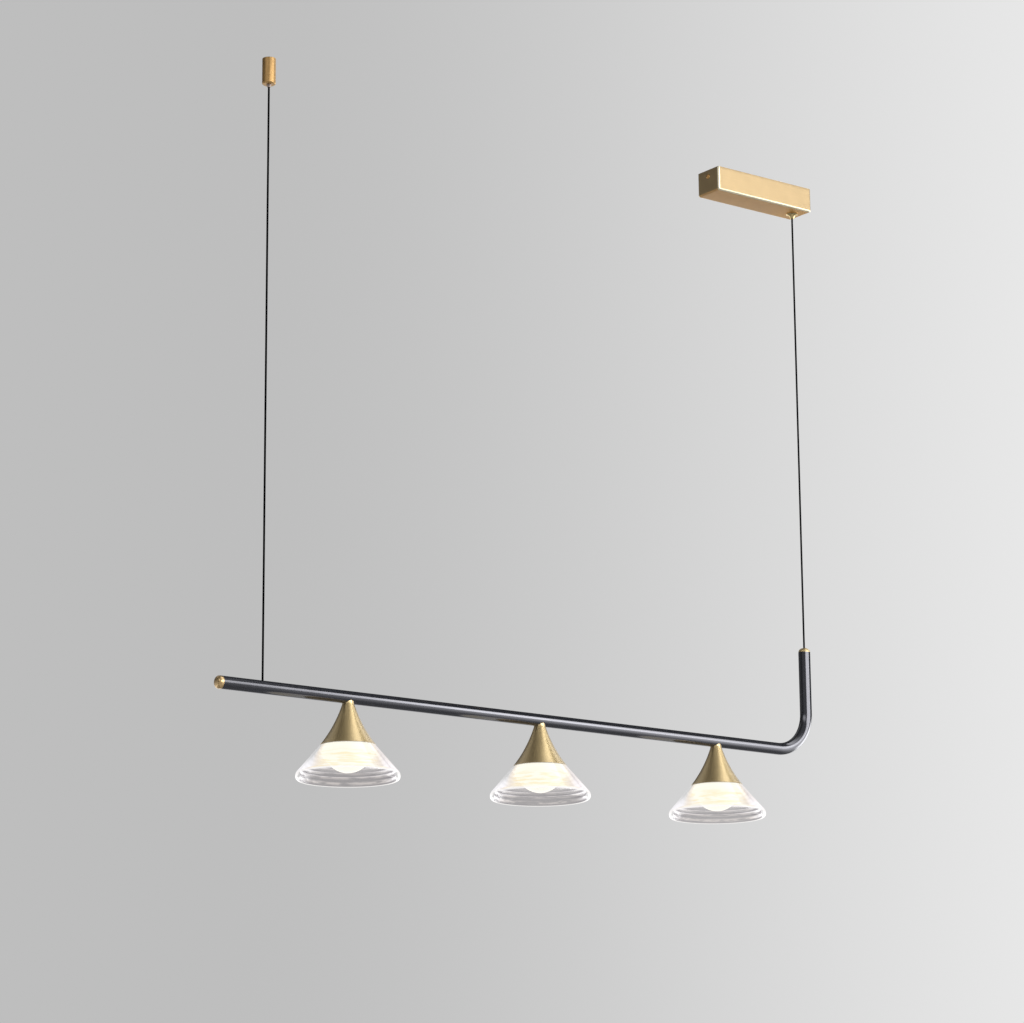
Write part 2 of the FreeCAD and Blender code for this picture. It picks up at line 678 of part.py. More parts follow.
HEAD_PIECES = {
    "brass_cone": cone,
    "heat_sink": heat_sink,
    "led_board": led_board,
    "diffuser": diffuser,
    "glass_shade": glass_shade,
    "shade_gasket": shade_gasket,
}

PIECES = [canopy_cover, mounting_bracket, canopy_screws, led_driver, driver_screws, terminal_block,
          earth_screw, input_leads, output_leads, cord_grip, clamp_screw, grip_nut, cord_clamp,
          cord_head, gripper_base, gripper_barrel, grip_jaw, plunger, grip_balls, grip_spring,
          spring_plug, cable_tail, cable_flex, cord_flex, suspension_cable, power_cord, bar_tube,
          end_cap, arm_cap, cable_stop, arm_cord_clamp, bar_wiring, stems, stem_nuts, board_screws]


def export(name, shape):
    shape.exportStep(f"parts/{name}.step")
    solids = len(shape.Solids)
    print(f"{name}: {solids} solid(s), {shape.Volume:.1f} mm3, valid {shape.isValid()}")


def main():
    os.makedirs("parts", exist_ok=True)
    for make in PIECES:
        export(make.__name__, make())
    for name, make in HEAD_PIECES.items():
        piece = make()
        for k, x in enumerate(HEAD_XS, start=1):
            export(f"{name}_{k}", piece.translated(Vector(x, 0, -DROP)))


main()
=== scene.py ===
"""Surfaces, finishes, light and camera of a linear pendant light with three glass-shaded heads."""
import json
import math

import bmesh
import bpy
import numpy as np
from mathutils import Matrix, Vector


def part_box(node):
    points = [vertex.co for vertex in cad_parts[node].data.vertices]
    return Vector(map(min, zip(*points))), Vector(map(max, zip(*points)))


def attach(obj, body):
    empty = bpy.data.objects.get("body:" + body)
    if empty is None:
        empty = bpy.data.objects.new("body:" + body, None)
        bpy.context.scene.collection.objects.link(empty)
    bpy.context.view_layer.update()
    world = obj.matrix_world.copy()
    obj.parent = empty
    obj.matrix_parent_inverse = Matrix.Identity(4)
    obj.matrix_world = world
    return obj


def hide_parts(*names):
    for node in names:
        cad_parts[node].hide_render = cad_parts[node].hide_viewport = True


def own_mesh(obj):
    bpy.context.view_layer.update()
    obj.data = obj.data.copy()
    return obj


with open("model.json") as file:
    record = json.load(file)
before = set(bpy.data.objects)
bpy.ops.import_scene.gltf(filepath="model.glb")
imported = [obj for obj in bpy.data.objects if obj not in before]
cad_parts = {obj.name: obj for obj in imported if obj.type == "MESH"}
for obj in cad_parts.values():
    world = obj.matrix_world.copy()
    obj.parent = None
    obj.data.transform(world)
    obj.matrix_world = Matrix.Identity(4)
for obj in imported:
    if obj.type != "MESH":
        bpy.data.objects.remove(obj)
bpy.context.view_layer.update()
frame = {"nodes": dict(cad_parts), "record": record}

bl_info = {
    "name": "Linear pendant light",
    "version": (1, 0, 0),
    "blender": (4, 5, 0),
    "location": "3D View > Sidebar > Pendant",
    "description": "Builds the visible surfaces, finishes and studio of a linear pendant light",
    "category": "Object",
}

MM = 0.001


def span(node, axis):
    """Least and greatest coordinate of a CAD node along an axis, in millimetres."""
    low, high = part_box(node)
    return low[axis] / MM, high[axis] / MM


def middle(node, axis):
    """Coordinate of a CAD node's middle along an axis, in millimetres."""
    return sum(span(node, axis)) / 2


# Places on the light, in millimetres. Cable and cord are drawn FOOT_GAP longer than their solids,
# whose ends stop just short of what holds them.
FOOT_GAP = 0.3
CABLE_X = middle("suspension_cable", 0)
CABLE_FOOT_Z, CABLE_TOP_Z = span("suspension_cable", 2)[0] - FOOT_GAP, span("plunger", 2)[0]
ARM_X = middle("power_cord", 0)
CORD_FOOT_Z, CORD_TOP_Z = span("power_cord", 2)[0] - FOOT_GAP, span("cord_grip", 2)[0]
AXIS_Z = middle("end_cap", 2)
CAP_X = span("bar_tube", 0)[0]
ARM_TOP_Z = span("bar_tube", 2)[1]
HEAD_XS = [middle(f"glass_shade_{k}", 0) for k in (1, 2, 3)]
GRIPPER_FOOT_Z = span("gripper_barrel", 2)[0]
CANOPY_WALL = 1.2


class PendantSizes(bpy.types.PropertyGroup):
    """Sizes of the visible surfaces."""
    tube_radius: bpy.props.FloatProperty(
        name="Tube radius", description="Outer radius of the bent tube",
        default=0.0095, unit="LENGTH", subtype="DISTANCE")
    bend_radius: bpy.props.FloatProperty(
        name="Bend radius", description="Radius of the elbow's centre line",
        default=0.062, unit="LENGTH", subtype="DISTANCE")
    cable_diameter: bpy.props.FloatProperty(
        name="Cable diameter", description="Diameter of the suspension cable",
        default=0.003, unit="LENGTH", subtype="DISTANCE")
    cord_diameter: bpy.props.FloatProperty(
        name="Cord diameter", description="Diameter of the power cord",
        default=0.003, unit="LENGTH", subtype="DISTANCE")
    canopy_size: bpy.props.FloatVectorProperty(
        name="Canopy size", description="Length, width and height of the canopy",
        default=(0.2, 0.052, 0.04), unit="LENGTH", subtype="XYZ")
    fold_radius: bpy.props.FloatProperty(
        name="Fold radius", description="Outer radius of the canopy's folds",
        default=0.003, unit="LENGTH", subtype="DISTANCE")
    rib_depth: bpy.props.FloatProperty(
        name="Ring depth", description="How far the pressed rings stand out of the glass",
        default=0.0012, unit="LENGTH", subtype="DISTANCE")
    ribs: bpy.props.IntProperty(
        name="Rings", description="Number of pressed rings inside each shade", default=6, min=1)


class PendantFinishes(bpy.types.PropertyGroup):
    """Colours of the finishes and of the studio."""
    brass: bpy.props.FloatVectorProperty(
        name="Brass", description="Lacquered brass", subtype="COLOR",
        default=(0.80, 0.61, 0.30))
    canopy_brass: bpy.props.FloatVectorProperty(
        name="Canopy brass", description="Paler sheet brass of the canopy", subtype="COLOR",
        default=(0.56, 0.41, 0.22))
    lacquer: bpy.props.FloatVectorProperty(
        name="Lacquer", description="Black lacquer of the tube", subtype="COLOR",
        default=(0.010, 0.011, 0.015))
    glow: bpy.props.FloatVectorProperty(
        name="Glow", description="Light of the opal bulbs", subtype="COLOR",
        default=(1.0, 0.96, 0.84))
    sheath: bpy.props.FloatVectorProperty(
        name="Sheath", description="Black cord and cable", subtype="COLOR",
        default=(0.003, 0.003, 0.0035))
    backdrop: bpy.props.FloatVectorProperty(
        name="Backdrop", description="Grey of the studio behind the light", subtype="COLOR",
        default=(0.62, 0.62, 0.62))


# Shapes.

def circle(start, through, end):
    """Centre, as a complex number, and radius of the circle through three profile points. The
    centre is where the perpendicular bisectors of the two chords from start meet."""
    a, b, c = (complex(*p) for p in (start, through, end))
    w = (c - a) / (b - a)
    centre = a + (b - a) * (w - abs(w) ** 2) / (w - w.conjugate())
    return centre, abs(a - centre)


def arc(start, through, end, count):
    """Points of the arc through three profile points: the circle's centre plus its radius times
    the cosine and sine of an even run of angles, which turns by way of the middle point."""
    centre, radius = circle(start, through, end)
    a, b, c = (complex(*p) for p in (start, through, end))
    turn = np.angle((c - centre) / (a - centre))
    halfway = np.angle((b - centre) / (a - centre))
    if np.sign(turn) != np.sign(halfway) or abs(turn) < abs(halfway):
        turn -= np.sign(turn) * 2 * math.pi
    angles = np.angle(a - centre) + np.linspace(0, turn, count)
    return np.stack([centre.real + radius * np.cos(angles),
                     centre.imag + radius * np.sin(angles)], axis=1)


def outline(start, *steps, count=14):
    """Profile through points (radius, height) in millimetres. A step that is a pair of points is
    an arc through the first of them to the second, of count points."""
    pieces = [np.array([start], float)]
    here = start
    for step in steps:
        if isinstance(step[0], tuple):
            pieces.append(arc(here, step[0], step[1], count)[1:])
            here = step[1]
        else:
            pieces.append(np.array([step], float))
            here = step
    return np.concatenate(pieces)


def softened(profile, radius):
    """Closed profile with its corners rounded: each corner gives way to a short quadratic curve
    that starts and ends radius away from it, or at 0.45 of the shorter side beside it."""
    before = np.roll(profile, 1, axis=0) - profile
    after = np.roll(profile, -1, axis=0) - profile
    long_before = np.linalg.norm(before, axis=1, keepdims=True)
    long_after = np.linalg.norm(after, axis=1, keepdims=True)
    reach = np.minimum(radius, 0.45 * np.minimum(long_before, long_after))
    enter = profile + before / long_before * reach
    leave = profile + after / long_after * reach
    t = np.array([0.0, 0.25, 0.5, 0.75, 1.0])[None, :, None]
    curve = ((1 - t) ** 2 * enter[:, None] + 2 * t * (1 - t) * profile[:, None]
             + t ** 2 * leave[:, None])
    return curve.reshape(-1, 2)


def dome_middle(edge, pole):
    """Middle of the arc from an edge point to the axis at height pole, centred on the axis. Its
    radius is the edge's radius squared plus the rise squared, over twice the rise."""
    rise = pole - edge[1]
    radius = (edge[0] ** 2 + rise ** 2) / (2 * rise)
    half = math.asin(edge[0] / abs(radius)) / 2
    return abs(radius) * math.sin(half), pole - radius + radius * math.cos(half)


SAME_POINT = 1e-7           # metres


def surface(name, points, loop=False, crease=32.0):
    """Object from a grid of points (row, column, xyz) in millimetres, one quad to a cell. The
    last column joins the first, and with loop the last row joins the first. A row that has
    shrunk to one point becomes a pole, because doubles are merged. Crease is in degrees."""
    rows, columns = points.shape[:2]
    row, column = np.meshgrid(np.arange(rows - (not loop)), np.arange(columns), indexing="ij")
    next_row, next_column = (row + 1) % rows, (column + 1) % columns
    quads = np.stack([row * columns + column, row * columns + next_column,
                      next_row * columns + next_column, next_row * columns + column], axis=-1)
    mesh = bpy.data.meshes.new(name)
    mesh.from_pydata(points.reshape(-1, 3) * MM, [], quads.reshape(-1, 4).tolist())
    shell = bmesh.new()
    shell.from_mesh(mesh)
    bmesh.ops.remove_doubles(shell, verts=shell.verts, dist=SAME_POINT)
    bmesh.ops.recalc_face_normals(shell, faces=shell.faces)
    shell.to_mesh(mesh)
    shell.free()
    mesh.polygons.foreach_set("use_smooth", np.ones(len(mesh.polygons), bool))
    mesh.set_sharp_from_angle(angle=math.radians(crease))
    piece = bpy.data.objects.new(name, mesh)
    bpy.context.scene.collection.objects.link(piece)
    return piece


def turned(profile, centre, axis="z", segments=96):
    """Points of a profile turned round an axis: radius times cosine and sine of an even sweep of
    angles, with the profile's height along the axis. Axis "-x" lays the heights towards -X."""
    sweep = np.linspace(0, 2 * math.pi, segments, endpoint=False)[None, :]
    radius, height = profile[:, :1], profile[:, 1:]
    if axis == "z":
        parts = (radius * np.cos(sweep), radius * np.sin(sweep), height + 0 * sweep)
    else:
        parts = (-height + 0 * sweep, radius * np.cos(sweep), radius * np.sin(sweep))
    return np.stack(parts, axis=-1) + np.array(centre, float)


RUN_ROWS, TURN_ROWS, ARM_ROWS = 60, 40, 12


def bent_tube(radius, bend, sides=72):
    """Points of the tube: a circle carried along the straight run, a quarter turn and the arm,
    square to the path. Rows that close the ends shrink to the path itself."""
    straight = np.linspace(CAP_X, ARM_X - bend, RUN_ROWS)
    turn = np.linspace(0, math.pi / 2, TURN_ROWS)[1:-1]
    arm = np.linspace(AXIS_Z + bend, ARM_TOP_Z, ARM_ROWS)
    x = np.concatenate([straight, ARM_X - bend + bend * np.sin(turn), np.full(ARM_ROWS, ARM_X)])
    z = np.concatenate([np.full(RUN_ROWS, AXIS_Z), AXIS_Z + bend * (1 - np.cos(turn)), arm])
    lean = np.concatenate([np.zeros(RUN_ROWS), turn, np.full(ARM_ROWS, math.pi / 2)])
    x, z, lean = (np.concatenate([v[:1], v, v[-1:]]) for v in (x, z, lean))
    size = np.full(len(x), radius)
    size[0] = size[-1] = 0.0
    sweep = np.linspace(0, 2 * math.pi, sides, endpoint=False)[None, :]
    across, rise = size[:, None] * np.cos(sweep), size[:, None] * np.sin(sweep)
    lean = lean[:, None]
    return np.stack([x[:, None] - rise * np.sin(lean), across, z[:, None] + rise * np.cos(lean)],
                    axis=-1)


FOLD_POINTS = 9


def folded_box(length, width, height, fold, wall):
    """Points of an open box folded from sheet: level loops of a rounded rectangle. Going out from
    the middle of its underside, each loop is set in by fold times one minus the sine of the
    fold's angle, climbs the wall, and comes back inside, one wall smaller. A row holds a loop's
    inset, its height and the radius of its corners."""
    angle = np.linspace(0, math.pi / 2, FOLD_POINTS)
    inner_fold = fold - wall
    rows = [(1.0, -height, 0.0), (fold, -height, 0.0)]
    rows += [(fold * (1 - math.sin(a)), -height + fold * (1 - math.cos(a)), fold * math.sin(a))
             for a in angle[1:]]
    rows += [(0.0, z, fold) for z in np.linspace(-height + fold, 0, 8)[1:-1]]
    rows += [(0.0, -0.3, fold), (0.1, -0.08, fold - 0.1), (0.3, 0.0, fold - 0.3),
             (wall, 0.0, inner_fold), (wall, -height + fold, inner_fold)]
    rows += [(wall + inner_fold * (1 - math.cos(a)), -height + fold - inner_fold * math.sin(a),
              inner_fold * math.cos(a)) for a in angle[1:]]
    rows += [(1.0, -height + wall, 0.0)]
    inset, level, corner = (np.array(v)[:, None] for v in zip(*rows))
    cos, sin = np.cos(angle), np.sin(angle)
    out_x = np.concatenate([cos, -sin, -cos, sin])[None, :]
    out_y = np.concatenate([sin, cos, -sin, -cos])[None, :]
    side_x = np.repeat([1, -1, -1, 1], FOLD_POINTS)[None, :]
    side_y = np.repeat([1, 1, -1, -1], FOLD_POINTS)[None, :]
    x = side_x * (length / 2 - inset - corner) + corner * out_x
    y = side_y * (width / 2 - inset - corner) + corner * out_y
    grid = np.stack([x, y, level + 0 * x], axis=-1)
    grid[0, :, :2] = grid[-1, :, :2] = 0.0
    return grid


# Radii and heights of the cone, from the tube's axis. Its outer profile is a neck, which widens
# evenly from NECK_TOP to NECK_Z, and the arc below it. The rest runs from the bore's foot to the
# flange in the mouth.
MOUTH_Z, NECK_Z, LIP_Z, CONE_FLOOR_Z, BORE_FOOT_Z, BORE_R = -69.2, -9.0, -68.9, -67.7, -20.0, 5.0
NECK_TOP, NECK_FLARE = (8.0, -2.0), 0.4 / 7.0
CONE_ARC = ((8.4, NECK_Z), (21.3, -40.0), (40.2, MOUTH_Z))
FLANGE = ((32.2, CONE_FLOOR_Z), (32.2, LIP_Z), (32.5, MOUTH_Z), (39.6, MOUTH_Z))


def trumpet(tube_radius, wall=1.5, segments=120):
    """Points of a cone coped to the tube. Each column's outer wall runs from the lip up its arc
    to where it meets the tube, whose underside lies at minus the root of the tube's radius
    squared less the square of the distance across; a few rounds of putting one into the other
    find that height. The column then goes in over the neck, down the bore and the inner wall,
    and back under the lip's turned-in flange."""
    centre, big = circle(*CONE_ARC)
    sweep = np.linspace(0, 2 * math.pi, segments, endpoint=False)[None, :]

    def outer(z):
        """Radius of the outer face: the neck's line, or the arc's circle solved for a height."""
        arc_r = centre.real - np.sqrt(big ** 2 - (np.maximum(z, MOUTH_Z) - centre.imag) ** 2)
        neck_r = NECK_TOP[0] + NECK_FLARE * (NECK_TOP[1] - z)
        return np.where(z > NECK_Z, neck_r, arc_r)

    def inner(z):
        """Radius of the inner face: the circle that is larger by the wall."""
        return centre.real - np.sqrt((big + wall) ** 2 - (z - centre.imag) ** 2)

    def under(r):
        """Height of the tube's underside at a radius in each column."""
        return -np.sqrt(np.maximum(tube_radius ** 2 - (r * np.sin(sweep)) ** 2, 0)) + 0.0

    top = NECK_Z + 0 * sweep
    for _ in range(12):
        top = under(outer(top))
    climb = LIP_Z + (top - LIP_Z) * np.linspace(0, 1, 40)[:, None]
    over = outer(top) + (BORE_R - outer(top)) * np.linspace(0, 1, 5)[1:, None]
    down = np.linspace(BORE_FOOT_Z, CONE_FLOOR_Z, 20)[:, None] + 0 * sweep
    flange_r, flange_z = (np.array(v)[:, None] + 0 * sweep for v in zip(*FLANGE))
    radius = np.concatenate([outer(climb), over, BORE_R + 0 * sweep, inner(down), flange_r])
    height = np.concatenate([climb, under(over), BORE_FOOT_Z + 0 * sweep, down, flange_z])
    return np.stack([radius * np.cos(sweep), radius * np.sin(sweep), height], axis=-1)


# Upper and lower end of the glass cone's outer face, as radius and height from the tube's axis,
# the unit vector down that face, and the inner face's radii at its top and bottom ring.
GLASS_TOP, GLASS_LOW = np.array([40.4, -70.0]), np.array([72.6, -107.2])
GLASS_DOWN = (GLASS_LOW - GLASS_TOP) / np.linalg.norm(GLASS_LOW - GLASS_TOP)
FIRST_RING_R, LAST_RING_R, GLASS_WALL = 41.0, 67.6, 4.0
GLASS_BORE_R, GLASS_SEAT_Z = 31.6, -73.0


def shade_profile(ribs, depth):
    """Profile of the glass: the outer cone, the thick rounded rim, and the inner face, on which
    each ring swells by depth times a rounded wedge of the distance down the face."""
    top, down, wall = GLASS_TOP, GLASS_DOWN, GLASS_WALL
    first, last = FIRST_RING_R, LAST_RING_R
    inward = np.array([down[1], -down[0]])
    r = np.linspace(last, first, ribs * 14 + 1)
    phase = (last - r) / (last - first) * ribs % 1.0
    wedge = 1 - np.abs(2 * phase - 1)
    push = depth * (0.65 * wedge + 0.35 * np.sin(wedge * math.pi / 2) ** 2)
    reach = (r + wall - top[0]) / down[0]
    rings = top + down * reach[:, None] - [wall, 0] + inward * push[:, None]
    seat_r = top[0] - wall + (GLASS_SEAT_Z - top[1]) * down[0] / down[1]
    shell = outline((GLASS_BORE_R, top[1]), (39.9, top[1]), ((40.3, -70.1), (40.65, -70.4)),
                    tuple(GLASS_LOW), ((74.4, -110.1), (75.0, -113.5)),
                    ((74.0, -117.4), (71.2, -119.5)), ((69.4, -118.6), (68.6, -116.4)), count=12)
    return np.concatenate([shell, rings, [(seat_r, GLASS_SEAT_Z), (GLASS_BORE_R, GLASS_SEAT_Z)]])


def dome_profile():
    """Profile of an opal bulb: its collar, the bulge that carries the glass and a round foot,
    then the inner wall on the way back."""
    outer_edge, inner_edge = (25.0, -98.9), (23.9, -97.7)
    return outline((29.4, -61.2), (31.0, -61.2), (31.0, -73.1), ((38.4, -79.5), (37.1, -84.8)),
                   ((31.4, -92.1), outer_edge),
                   (dome_middle(outer_edge, -109.0), (0.0, -109.0)), (0.0, -107.4),
                   (dome_middle(inner_edge, -107.4), inner_edge),
                   ((30.1, -91.1), (35.8, -83.9)), ((36.8, -79.5), (29.4, -74.7)))


# Finishes.

class Signal:
    """A number in a node tree. Arithmetic on it adds Math nodes."""

    def __init__(self, tree, socket):
        self.tree = tree
        self.socket = socket

    def maths(self, operation, *others, swapped=False):
        """A Math node on this number and others, or with swapped on others and this number."""
        values = [self, *others]
        if swapped:
            values.reverse()
        return self.tree.add("ShaderNodeMath", {"operation": operation},
                             dict(enumerate(values))).value()

    def __add__(self, other):
        return self.maths("ADD", other)

    def __radd__(self, other):
        return self.maths("ADD", other)

    def __sub__(self, other):
        return self.maths("SUBTRACT", other)

    def __rsub__(self, other):
        return self.maths("SUBTRACT", other, swapped=True)

    def __mul__(self, other):
        return self.maths("MULTIPLY", other)

    def __rmul__(self, other):
        return self.maths("MULTIPLY", other)

    def __truediv__(self, other):
        return self.maths("DIVIDE", other)

    def __rtruediv__(self, other):
        return self.maths("DIVIDE", other, swapped=True)

    def __pow__(self, other):
        return self.maths("POWER", other)

    def __rpow__(self, other):
        return self.maths("POWER", other, swapped=True)

    def step_between(self, low, high):
        """0 below low, 1 above high, and a smooth rise between them."""
        return self.tree.add("ShaderNodeMapRange", {"interpolation_type": "SMOOTHSTEP"},
                             {"Value": self, "From Min": low, "From Max": high}).value()

    def band(self, rise, fall):
        """A smooth step up between the two ends of rise, times one down between those of fall."""
        return self.step_between(*rise) * (1 - self.step_between(*fall))


class Added:
    """A node that was added, whose outputs are taken by name."""

    def __init__(self, tree, node):
        self.tree = tree
        self.node = node

    def value(self, name=0):
        """An output as a number for arithmetic."""
        return Signal(self.tree, self.node.outputs[name])

    def link(self, name=0):
        """An output as it is, for a colour, a vector or a shader."""
        return self.node.outputs[name]


class Finish:
    """A node tree under construction."""

    def __init__(self, owner):
        owner.use_nodes = True
        self.owner = owner
        self.nodes = owner.node_tree.nodes
        self.links = owner.node_tree.links
        self.nodes.clear()

    def add(self, kind, settings=None, sockets=None):
        """Adds a node. Its settings are set first. A socket, by name or number, takes a value, a
        Signal or another node's output."""
        node = self.nodes.new(kind)
        for name, value in (settings or {}).items():
            setattr(node, name, value)
        for name, value in (sockets or {}).items():
            socket = node.inputs[name]
            if isinstance(value, Signal):
                value = value.socket
            if isinstance(value, bpy.types.NodeSocket):
                self.links.new(value, socket)
            elif socket.type == "RGBA" and len(value) == 3:
                socket.default_value = (*value, 1.0)
            else:
                socket.default_value = value
        return Added(self, node)

    def spot(self):
        """Place on the object, in metres."""
        return self.add("ShaderNodeTexCoord").link("Object")

    def split(self, vector):
        """A vector's x, y and z."""
        parts = self.add("ShaderNodeSeparateXYZ", sockets={0: vector})
        return [parts.value(axis) for axis in "XYZ"]

    def noise(self, vector, scale, detail=2.0, rough=0.5, stretch=(1, 1, 1)):
        """Noise at so many cells to the metre, after the vector is stretched."""
        stretched = self.add("ShaderNodeVectorMath", {"operation": "MULTIPLY"},
                             {0: vector, 1: stretch}).link()
        return self.add("ShaderNodeTexNoise", sockets={
            "Vector": stretched, "Scale": scale, "Detail": detail, "Roughness": rough}).value()

    def scratched(self, spot, stretch):
        """Fine scratches, and a tone from 0 to 1 that follows them and wide clouds."""
        scratches = self.noise(spot, 1.0, 3.0, 0.6, stretch)
        clouds = self.noise(spot, 45.0, 2.0)
        return scratches, (clouds * 0.7 + scratches * 0.5).step_between(0.35, 0.85)

    def blend(self, factor, first, second):
        """Colour between first and second. A Mix node's colours are its sockets 6 and 7."""
        return self.add("ShaderNodeMix", {"data_type": "RGBA"},
                        {"Factor": factor, 6: first, 7: second}).link(2)

    def bump(self, height, distance, strength=0.5):
        """Normal of a surface raised by height times distance, in metres."""
        return self.add("ShaderNodeBump", sockets={
            "Height": height, "Distance": distance, "Strength": strength}).link()

    def surface(self, sockets):
        """Principled surface into the output."""
        shader = self.add("ShaderNodeBsdfPrincipled", sockets=sockets).link()
        self.add("ShaderNodeOutputMaterial", sockets={"Surface": shader})
        return self.owner


def scaled(colour, factor):
    """Colour made brighter or darker."""
    return tuple(channel * factor for channel in colour)


def tinted(colour, parts):
    """Colour with each channel times its part."""
    return tuple(channel * part for channel, part in zip(colour, parts))


SCRATCH_DEPTH = 0.00003


def brushed_brass(name, colour, grain="round", roughness=0.38, metallic=0.92, coat=1.0):
    """Lacquered brass. Grain is how the fine scratches lie: "round" about an upright axis, or
    "end" about the tube's axis."""
    f = Finish(bpy.data.materials.new(name))
    stretch = {"round": (30, 30, 1400), "end": (1400, 30, 30)}[grain]
    scratches, tone = f.scratched(f.spot(), stretch)
    return f.surface({
        "Base Color": f.blend(tone, scaled(colour, 0.92), colour),
        "Metallic": metallic,
        "Roughness": roughness - 0.05 + 0.10 * scratches,
        "Coat Weight": coat,
        "Coat Roughness": 0.25,
        "Normal": f.bump(scratches, SCRATCH_DEPTH),
    })


def folded_sheet(name, colour, size):
    """Satin brass sheet scratched along X, with painted light: the ends carry painted shade,
    darker, and the underside a painted warm light, redder, most so towards its right end. The
    folds along the sides, and the upright ones on the left, carry a painted highlight, paler and a
    little smoother and more metallic: there a point is near the limit of Y and of X or Z as well."""
    f = Finish(bpy.data.materials.new(name))
    spot = f.spot()
    x, y, z = f.split(spot)
    scratches, tone = f.scratched(spot, (12, 900, 900))
    end, side, foot = (
        place.maths("ABSOLUTE").step_between(limit - 0.0034, limit - 0.0024)
        for place, limit in ((x, size[0] / 2), (y, size[1] / 2), (z, size[2])))
    # Painted highlight: the folds along the sides, and only the upright ones on the left, get a
    # paler colour; the finish there is also smoother and more metallic.
    upright = end * (1 - x.step_between(0.0, 0.02))
    fold = side * upright.maths("MAXIMUM", foot)
    painted_highlight = (1.0, 0.92, 0.68)
    # Painted warm light: the underside is redder, most so towards its right end.
    painted_warm_underside = tinted(colour, (0.98, 0.80, 0.61))
    painted_warmest_underside = tinted(colour, (1.10, 0.84, 0.46))
    sheet = f.blend(tone, scaled(colour, 0.92), colour)
    # Painted shade: the end faces are darker.
    painted_end_shade = f.blend(tone, scaled(colour, 0.74), scaled(colour, 0.80))
    under = f.blend(tone, scaled(painted_warm_underside, 0.92), painted_warm_underside)
    under = f.blend(x.step_between(0.02, 0.09), under, painted_warmest_underside)
    faces = f.blend(foot, f.blend(end, sheet, painted_end_shade), under)
    return f.surface({
        "Base Color": f.blend(fold, faces, painted_highlight),
        "Metallic": 0.5 + 0.35 * fold,
        "Roughness": 0.42 + 0.10 * scratches - 0.12 * fold,
        "Specular IOR Level": 0.3,
        "Normal": f.bump(scratches, SCRATCH_DEPTH),
    })


def black_lacquer(name, colour):
    """Glossy black lacquer, a little dusty, with a very slight orange peel."""
    f = Finish(bpy.data.materials.new(name))
    spot = f.spot()
    peel = f.noise(spot, 900.0, 2.0)
    dust = f.noise(spot, 60.0, 3.0)
    return f.surface({
        "Base Color": f.blend(dust, colour, scaled(colour, 1.6)),
        "Roughness": 0.10 + 0.05 * dust,
        "IOR": 2.1,
        "Specular Tint": (0.92, 0.92, 1.0, 1.0),
        "Normal": f.bump(peel, 0.00001),
    })


def plain(name, colour, roughness, metallic=0.0, spread=0.12, cells=120.0, gloss=0.5):
    """A moulded, cast or plated surface: two tones that differ by spread in patches of so many
    cells to the metre, uneven roughness and a fine texture."""
    f = Finish(bpy.data.materials.new(name))
    spot = f.spot()
    coarse = f.noise(spot, cells, 3.0, 0.6)
    fine = f.noise(spot, cells * 14, 2.0, 0.5)
    return f.surface({
        "Base Color": f.blend(coarse, scaled(colour, 1 - spread), colour),
        "Metallic": metallic,
        "Roughness": roughness - 0.06 + 0.12 * coarse,
        "Specular IOR Level": gloss,
        "Normal": f.bump(fine, 0.00002, 0.6),
    })


def glowing_opal(name, glow):
    """Opal bulb lit from inside: a little warmer at its collar, 70 mm below the tube's axis, and
    full at its foot, 38 mm further down."""
    f = Finish(bpy.data.materials.new(name))
    spot = f.spot()
    z = f.split(spot)[2]
    depth = ((AXIS_Z * MM - 0.070) - z) / 0.038
    grain = f.noise(spot, 300.0, 2.0)
    tone = (depth * 0.9 + grain * 0.1).step_between(0.0, 1.0)
    warm = (glow[0], glow[1] * 0.93, glow[2] * 0.80)
    return f.surface({
        "Base Color": (0.30, 0.29, 0.26),
        "Roughness": 0.35 + 0.1 * grain,
        "Emission Color": f.blend(tone, warm, glow),
        "Emission Strength": 0.85,
    })


def ring_height(f, radius, z, ribs):
    """1 on each pressed ring and 0 in the grooves between: one less the cosine of the distance
    along the glass wall, one turn to a ring, halved. It runs on past the last ring to the rim."""
    along = radius * float(GLASS_DOWN[0]) + (z - AXIS_Z * MM) * float(GLASS_DOWN[1])
    reach = (LAST_RING_R + GLASS_WALL - GLASS_TOP[0]) / GLASS_DOWN[0]
    last_groove = reach + GLASS_TOP @ GLASS_DOWN - GLASS_WALL * GLASS_DOWN[0]
    pitch = (LAST_RING_R - FIRST_RING_R) / GLASS_DOWN[0] / ribs
    turn = (float(last_groove) * MM - along) * float(2 * math.pi / pitch / MM)
    return 0.5 - 0.5 * turn.maths("COSINE")


